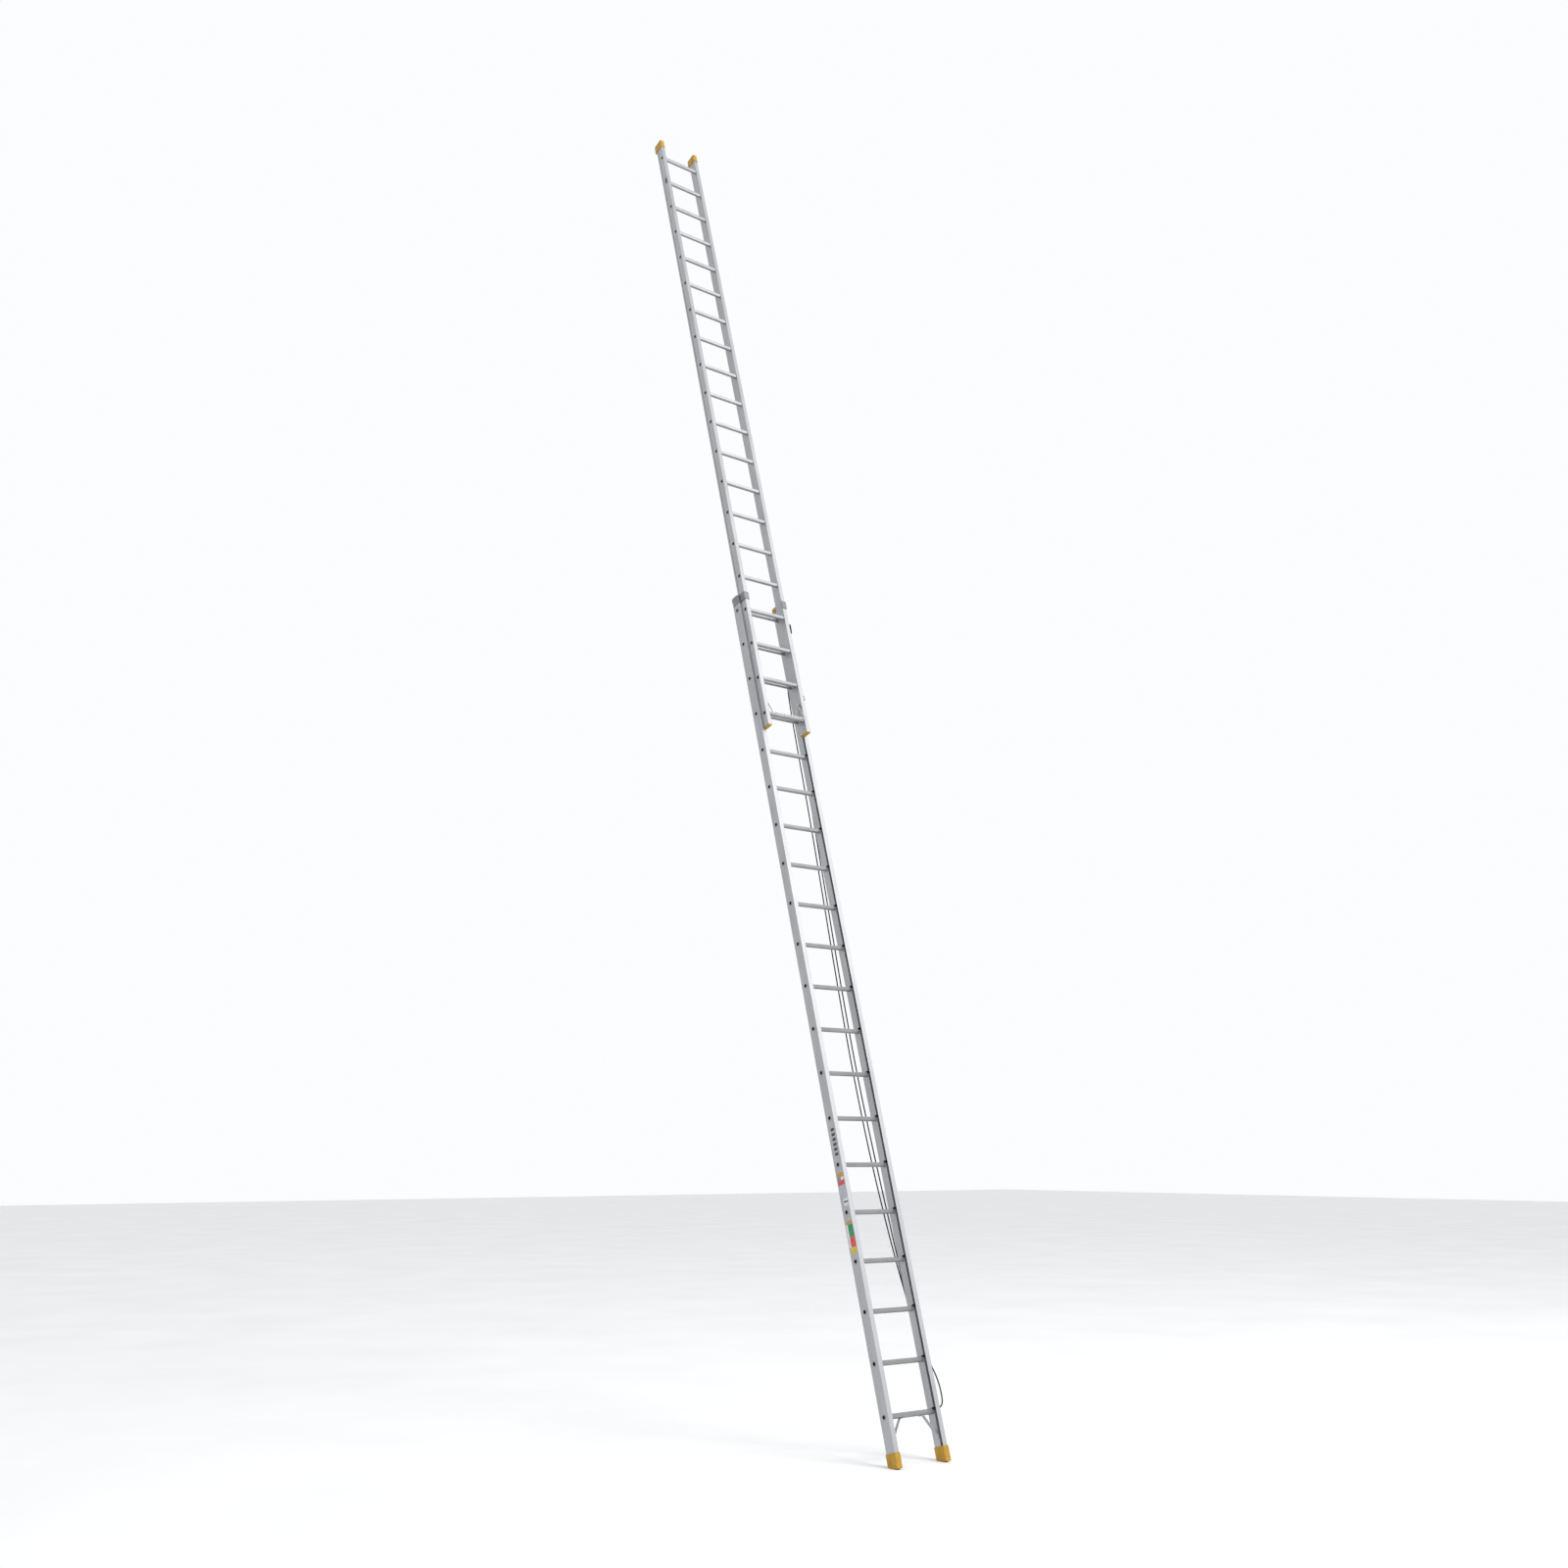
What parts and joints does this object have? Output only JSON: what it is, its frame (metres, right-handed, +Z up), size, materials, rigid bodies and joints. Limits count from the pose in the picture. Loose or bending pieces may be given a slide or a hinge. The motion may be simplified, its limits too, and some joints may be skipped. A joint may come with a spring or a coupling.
{
  "type": "extension ladder",
  "caption": "Rope-operated aluminium extension ladder, fly section sliding in front of the base, yellow moulded feet and end caps, pulley and gravity rung lock, leaning at its climbing angle",
  "frame": {"origin": "on the floor, midway between the soles of the two feet", "axes": "+X across the rungs to the climber's right, +Y away from the climber towards the wall the ladder leans on, +Z up; the stiles lean 74 degrees from the floor towards +Y"},
  "size_m": [0.49, 3.098, 10.7274],
  "materials": {
    "aluminium": "mill finish, extruded",
    "yellow_moulding": "satin moulded",
    "zinc_steel": "zinc plated",
    "sheave_plastic": "matte",
    "rope": "braided"
  },
  "bodies": {
    "base": {"base_stile_left": "aluminium", "base_stile_right": "aluminium", "base_rung_01": "aluminium", "base_rung_02": "aluminium", "base_rung_03": "aluminium", "base_rung_04": "aluminium", "base_rung_05": "aluminium", "base_rung_06": "aluminium", "base_rung_07": "aluminium", "base_rung_08": "aluminium", "base_rung_09": "aluminium", "base_rung_10": "aluminium", "base_rung_11": "aluminium", "base_rung_12": "aluminium", "base_rung_13": "aluminium", "base_rung_14": "aluminium", "base_rung_15": "aluminium", "base_rung_16": "aluminium", "base_rung_17": "aluminium", "base_rung_18": "aluminium", "base_rung_19": "aluminium", "base_rung_20": "aluminium", "foot_left": "yellow_moulding", "foot_right": "yellow_moulding", "base_top_caps": "yellow_moulding", "guide_brackets": "aluminium", "rung_braces": "aluminium", "base_rivets": "zinc_steel", "pulley_block": "zinc_steel", "pulley_axle": "zinc_steel", "rope_haul": "rope", "rope_lift": "rope", "rope_return": "rope"},
    "fly": {"fly_stile_left": "aluminium", "fly_stile_right": "aluminium", "fly_rung_01": "aluminium", "fly_rung_02": "aluminium", "fly_rung_03": "aluminium", "fly_rung_04": "aluminium", "fly_rung_05": "aluminium", "fly_rung_06": "aluminium", "fly_rung_07": "aluminium", "fly_rung_08": "aluminium", "fly_rung_09": "aluminium", "fly_rung_10": "aluminium", "fly_rung_11": "aluminium", "fly_rung_12": "aluminium", "fly_rung_13": "aluminium", "fly_rung_14": "aluminium", "fly_rung_15": "aluminium", "fly_rung_16": "aluminium", "fly_rung_17": "aluminium", "fly_rung_18": "aluminium", "fly_rung_19": "aluminium", "fly_rung_20": "aluminium", "fly_end_caps": "yellow_moulding", "fly_rivets": "zinc_steel", "rope_anchor": "zinc_steel"},
    "rung_lock": {"rung_lock": "zinc_steel"},
    "pulley_wheel": {"pulley_wheel": "sheave_plastic"}
  },
  "joints": [
    {"name": "fly_slide", "type": "slide", "parent": "base", "child": "fly", "axis": [0, -0.2756, -0.9613], "range_m": [0, 4.83], "deforming": ["rope_lift", "rope_return"]},
    {"name": "rung_lock_swing", "type": "hinge", "parent": "fly", "child": "rung_lock", "pos_m": [0, 1.38966, 5.08577], "axis": [-1, 0, 0], "range_deg": [-5.5, 12]},
    {"name": "pulley_spin", "type": "hinge", "parent": "base", "child": "pulley_wheel", "pos_m": [0.226, 1.62002, 5.75126], "axis": [1, 0, 0], "continuous": true}
  ],
  "couplings": [
    {"joint": "pulley_spin", "follows": "fly_slide", "rad_per_m": 35.088}
  ]
}
